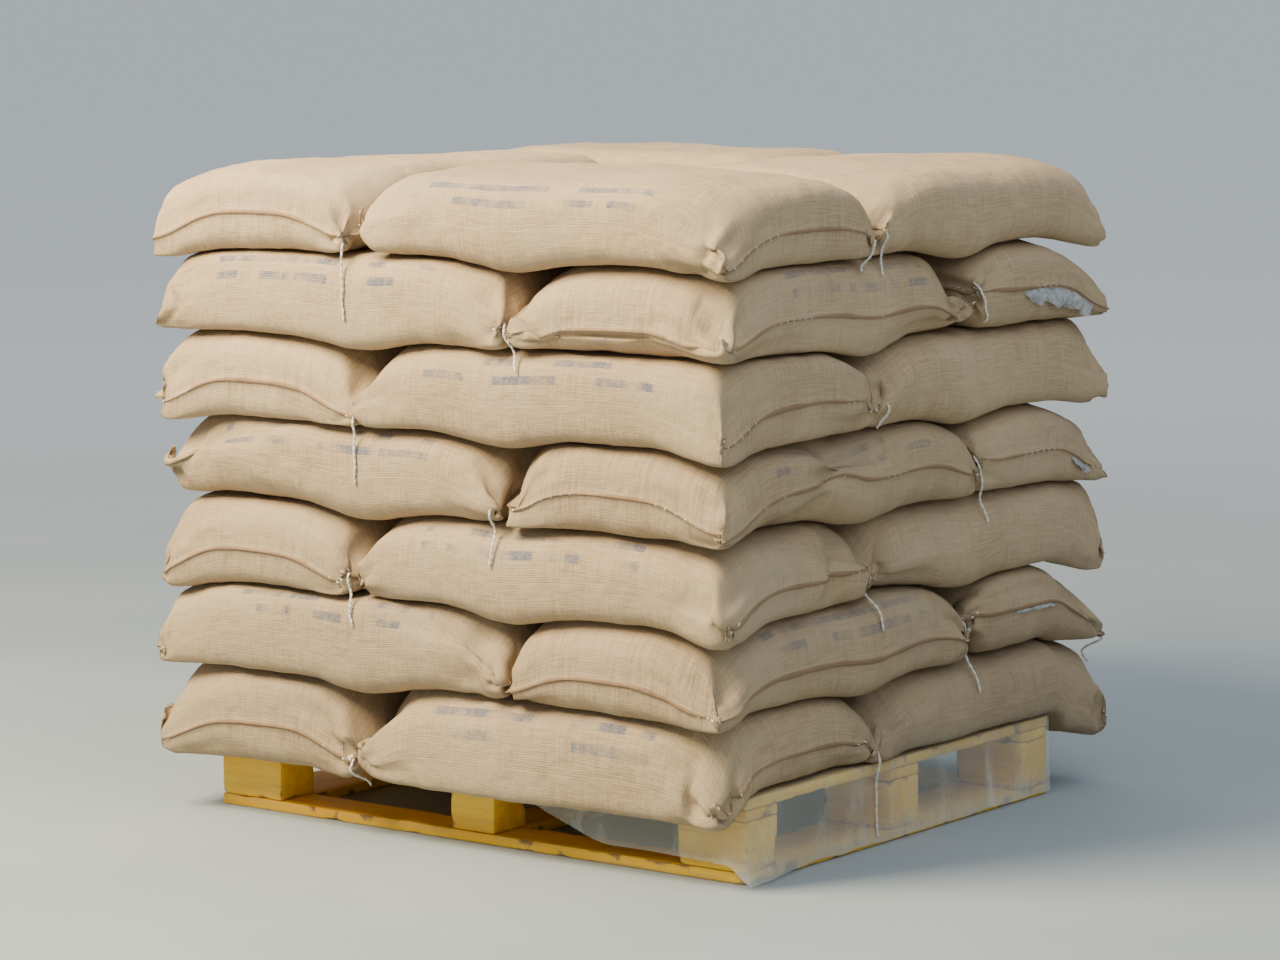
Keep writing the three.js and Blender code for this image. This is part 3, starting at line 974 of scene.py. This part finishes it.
def all_nails():
    rng = random.Random(3)
    steel = nail_steel()
    rows = ("front", "middle", "back")
    deck, base = [], []
    for i in range(1, 8):
        board_low, board_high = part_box("deck_board_%d" % i)
        for row in rows:
            rail_low, rail_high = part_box("stringer_" + row)
            x, y = (board_low.x + board_high.x) / 2, (rail_low.y + rail_high.y) / 2
            deck += nail_pair(x, y, board_high.z - DECK_NAIL_SINK, DECK_NAIL_SPREAD, rng)
    for row in rows:
        for column in ("left", "middle", "right"):
            low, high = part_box("block_%s_%s" % (row, column))
            x, y = (low.x + high.x) / 2, (low.y + high.y) / 2
            base += nail_pair(x, y, BASE_NAIL_HEIGHT, BASE_NAIL_SPREAD, rng)
    nails("deck_nails", deck, steel)
    nails("base_nails", base, steel)


def fill_grid(bm, points, step):
    """Faces between points numbered by column and row, with a UV map in steps of the flat sheet."""
    uv = bm.loops.layers.uv.new("cloth")
    for i, j in points:
        ring = [(i, j), (i + 1, j), (i + 1, j + 1), (i, j + 1)]
        if all(key in points for key in ring):
            face = bm.faces.new([points[key] for key in ring])
            for loop, (a, b) in zip(face.loops, ring):
                loop[uv].uv = (a * step[0], b * step[1])


def sheet_object(name, bm, finish):
    mesh = bpy.data.meshes.new(name)
    bm.to_mesh(mesh)
    bm.free()
    mesh.materials.append(finish)
    return add_object(name, mesh)


def hem_height(s, turned):
    """How high the film's hem hangs: nearly at the floor, and above the bottom board on the flap."""
    height = HEM_HEIGHT + HEM_WAVE * abs(noise.noise((s * 7, 3, 0)))
    height += FLAP_HEM * smooth(0, FLAP_HEM_BAND, turned)
    return height + FLAP_END_RISE * smooth(FLAP_END, FLAP, turned)


def billow(s, fall):
    """How far the hanging film stands out from the pallet."""
    ripple = 0.5 + 0.5 * noise.noise((s * 7, fall * 1.1, 1)) + 0.25 * noise.noise((s * 25, fall * 2, 5))
    out = (SKIRT_START + SKIRT_BILLOW * fall**1.4 * max(0.0, ripple)) if fall else 0.0
    corner = math.exp(-(((s - SKIRT_RUN) / CORNER_BILLOW_SPREAD) ** 2))
    return out + CORNER_BILLOW * fall**2 * corner


def hanging_point(s, fall):
    """A point of the film's skirt, s metres from the back. Past the near corner it is the flap."""
    turned = max(0.0, s - SKIRT_RUN)
    z = FILM_TOP + (hem_height(s, turned) - FILM_TOP) * fall
    out = billow(s, fall)
    if turned:
        return (SKIRT_X - turned + out * max(0, 1 - turned / FLAP_TURN), FLAP_Y - out, z)
    near_corner = max(0.0, 1 - (SKIRT_RUN - s) / CORNER_TURN)
    return (SKIRT_X + out, DECK_HIGH.y - s - out * near_corner, z)


def film_points(bm):
    """The film's points by column and row. Rows count down the skirt, and negative ones inwards."""
    points = {}
    flap_columns = round(FLAP * FILM_COLUMNS / SKIRT_RUN)
    for i in range(FILM_COLUMNS + flap_columns + 1):
        for j in range(SKIRT_STEPS + 1):
            points[i, j] = bm.verts.new(hanging_point(SKIRT_RUN * i / FILM_COLUMNS, j / SKIRT_STEPS))
    for i in range(FILM_COLUMNS + 1):
        for j in range(1, DECK_STEPS + 1):
            inward = (DECK_HIGH.x - DECK_LOW.x) * j / DECK_STEPS
            lift = FILM_WRINKLE * noise.noise((inward * 12, i * 0.3, 2))
            y = DECK_HIGH.y - SKIRT_RUN * i / FILM_COLUMNS
            points[i, -j] = bm.verts.new((SKIRT_X - inward, y, FILM_TOP + lift))
    return points


def film_sheet():
    """The film on the deck, its skirt down the right side, and the flap that turns the near corner."""
    bm = bmesh.new()
    fill_grid(bm, film_points(bm), (SKIRT_RUN / FILM_COLUMNS, FILM_ROW))
    bmesh.ops.recalc_face_normals(bm, faces=bm.faces)
    film = sheet_object("film_on_deck", bm, clear_film())
    film.data.shade_smooth()
    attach(film, "root")
    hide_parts("film_sheet")
    return film


def face_of_load(objects):
    """A search tree of what is built, for strings to lie on."""
    points, faces = [], []
    for o in objects:
        start = len(points)
        points += [v.co.copy() for v in o.data.vertices]
        faces += [[start + v for v in p.vertices] for p in o.data.polygons]
    return BVHTree.FromPolygons(points, faces)


def probe(tree, face, along, z):
    """How far out the load reaches at a place on one of its faces, or None."""
    run, out = FACE_AXES[face]
    outside = run * along + out * (HALF + PROBE_START) + Vector((0, 0, z))
    hit = tree.ray_cast(outside, -out, PROBE_REACH)[0]
    return hit.dot(out) if hit else None


def resting_places(tree, face, start, length, lean, seed):
    """Where a thread that hangs from start would touch the face: along it, up it and out from it."""
    run, _ = FACE_AXES[face]
    places = []
    for i in range(TAIL_STEPS + 1):
        z = start.z - length * SLACK * i / TAIL_STEPS
        sway = TAIL_WANDER * noise.noise((i * 0.16, seed, 0))
        along = start.dot(run) + lean * i / TAIL_STEPS + sway
        places.append((along, z, max(probe(tree, face, along, z) or 0, HALF - TAIL_HOLLOW)))
    return np.array(places)


def cut_to(route, length):
    """As much of the route as this length of thread reaches."""
    kept, total = [route[0]], 0.0
    for point in route[1:]:
        total += (point - kept[-1]).length
        if total > length:
            break
        kept.append(point)
    return kept


def tail_route(tree, face, ear, length, lean, seed):
    """A thread end that starts at an ear of a sack and hangs down the face, over what is below it."""
    run, out = FACE_AXES[face]
    start = ear - out * TAIL_ROOT
    alongs, heights, outs = resting_places(tree, face, start, length, lean, seed).T
    count = len(outs)
    furthest = [outs[max(0, i - TAIL_BRIDGE): i + TAIL_BRIDGE + 1].max() for i in range(count)]
    reaches = averaged(np.array(furthest)[:, None], TAIL_BRIDGE - 1)[:, 0]
    reaches = np.maximum(reaches, outs) + TAIL_DIAMETER * 0.6
    ease = smooth(0, 5, np.arange(count))
    reaches = start.dot(out) * (1 - ease) + reaches * ease
    places = zip(alongs, heights, reaches)
    route = np.array([run * along + out * reach + Vector((0, 0, z)) for along, z, reach in places])
    eased = averaged(route, 3)
    return cut_to([Vector(place) for place in (route[0], *eased[2:])], length)


def twine_section():
    """Two plies side by side, for a tail to be drawn with."""
    curve = bpy.data.curves.new("two_plies", "CURVE")
    spline = curve.splines.new("POLY")
    count = 10
    spline.points.add(count - 1)
    spline.use_cyclic_u = True
    for i, point in enumerate(spline.points):
        angle = 2 * math.pi * i / count
        radius = TAIL_DIAMETER / 2 * (0.80 + 0.20 * math.cos(2 * angle))
        point.co = (radius * math.cos(angle), radius * math.sin(angle), 0, 1)
    return add_object("two_plies", curve)


def tail(name, route, section, finish):
    """A twisted thread end along its route, as a tube."""
    curve = bpy.data.curves.new(name, "CURVE")
    curve.dimensions = "3D"
    curve.bevel_mode = "OBJECT"
    curve.bevel_object = section
    curve.use_fill_caps = True
    spline = curve.splines.new("POLY")
    spline.points.add(len(route) - 1)
    for i, (point, place) in enumerate(zip(spline.points, route)):
        point.co = (*place, 1)
        point.tilt = i * PLY_TURN
    piece = add_object(name, curve)
    select_only(piece)
    bpy.ops.object.convert(target="MESH")
    piece.data.materials.append(finish)
    piece.data.shade_smooth()
    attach(piece, "root")
    length = sum((b - a).length for a, b in zip(route, route[1:]))
    return piece


def thread_tails(tree, ears):
    section = twine_section()
    finish = twine()
    for i, (face, k, side, ear, length, lean) in enumerate(TAILS):
        route = tail_route(tree, face, ears[k, side, ear], length, lean, i)
        tail("thread_tail_%d" % (i + 1), route, section, finish)
    bpy.data.objects.remove(section)


def lip_line(tree, k, alongs):
    """Where the sewn mouth of a back sack stands out furthest, at each place along the right face."""
    line = []
    heights = [LOAD_FLOOR + (k - 1 + LIP_LOW + LIP_STEP * i) * PITCH for i in range(LIP_PROBES)]
    for along in alongs:
        reaches = [(probe(tree, "right", along, z), z) for z in heights]
        hits = [(reach, z) for reach, z in reaches if reach is not None]
        line.append(max(hits) if hits else (HALF, LOAD_FLOOR + (k - 0.6) * PITCH))
    return averaged(np.array(line), 3)


def liner_point(k, along, lip, share, fall, depth, flare):
    """A point of a crumpled strip, by its share of the way along the mouth and of the way down."""
    run, out = FACE_AXES["right"]
    reach, top = lip
    rim = math.sin(math.pi / 2 * min(1, share * 5, (1 - share) * 5))
    drop = depth * (0.2 + 0.8 * rim) * (0.8 + 0.5 * noise.noise((along * 24, k, 0)))
    pleat = noise.noise((along * 55 + fall, fall * 1.5, k * 3.0))
    crumple = noise.noise((along * 130, fall * 5, k)) + 0.5 * noise.noise((along * 300, fall * 12, k))
    stand = flare * rim * (math.sin(fall * 2.2) + 0.9 * pleat * fall**0.5 + 0.35 * crumple * fall**0.5)
    side = LINER_SWAY * noise.noise((along * 40, fall * 3, k + 9.0)) * fall
    place = run * (along + side) + out * (reach - LINER_TUCK + stand)
    return place + Vector((0, 0, top - drop * fall))


def liner_mouth(tree, name, k, start, end, depth, flare, finish):
    """A strip of the inner bag that hangs crumpled out of a sewn mouth on the right face."""
    columns, rows = LINER_CELLS
    bm = bmesh.new()
    alongs = np.linspace(start, end, columns + 1)
    points = {}
    for i, (along, lip) in enumerate(zip(alongs, lip_line(tree, k, alongs))):
        for j in range(rows + 1):
            place = liner_point(k, along, lip, i / columns, j / rows, depth, flare)
            points[i, j] = bm.verts.new(place)
    fill_grid(bm, points, ((end - start) / columns, depth / rows))
    strip = sheet_object(name, bm, finish)
    strip.data.flip_normals()
    finish_modifier(strip, "SUBSURF", levels=1, render_levels=1)
    strip.data.shade_smooth()
    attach(strip, "root")


def liner_mouths(tree):
    finish = liner_film()
    for row in LINERS:
        liner_mouth(tree, *row, finish)


def floor():
    bpy.ops.mesh.primitive_plane_add(size=400, location=(0, 0, 0))
    ground = bpy.context.object
    ground.name = "floor"
    ground.data.materials.append(floor_finish())


def turn_towards(place, aim):
    return (Vector(aim) - Vector(place)).to_track_quat("-Z", "Y").to_euler()


def soft_light(name, place, aim, size, watts, tint):
    light = bpy.data.lights.new(name, "AREA")
    light.size = size
    light.energy = watts
    light.color = tint
    o = add_object(name, light)
    o.location = place
    o.rotation_euler = turn_towards(place, aim)


def studio():
    soft_light("key", (-1.3, -2.8, 3.6), AIM, 2.0, 590, (1.0, 0.85, 0.60))
    soft_light("fill", (4.2, -2.2, 4.2), AIM, 4.0, 85, (0.84, 0.92, 1.0))
    skylight = bpy.data.lights.new("skylight", "SUN")
    skylight.energy = 1.5
    skylight.angle = math.radians(75)
    skylight.color = (0.95, 0.98, 1.0)
    add_object("skylight", skylight)
    world = bpy.data.worlds.new("studio")
    world.use_nodes = True
    background = world.node_tree.nodes["Background"]
    background.inputs["Color"].default_value = (0.72, 0.85, 1.0, 1)
    background.inputs["Strength"].default_value = 0.45
    bpy.context.scene.world = world


def camera():
    data = bpy.data.cameras.new("camera")
    data.lens = LENS
    eye = add_object("camera", data)
    eye.location = EYE
    eye.rotation_euler = turn_towards(EYE, AIM)
    bpy.context.scene.camera = eye


camera()
studio()
floor()
sack_pieces, ears = sacks((jute(), twine()))
pallet_pieces = pallet()
all_nails()
tree = face_of_load(sack_pieces + pallet_pieces + [film_sheet()])
thread_tails(tree, ears)
liner_mouths(tree)
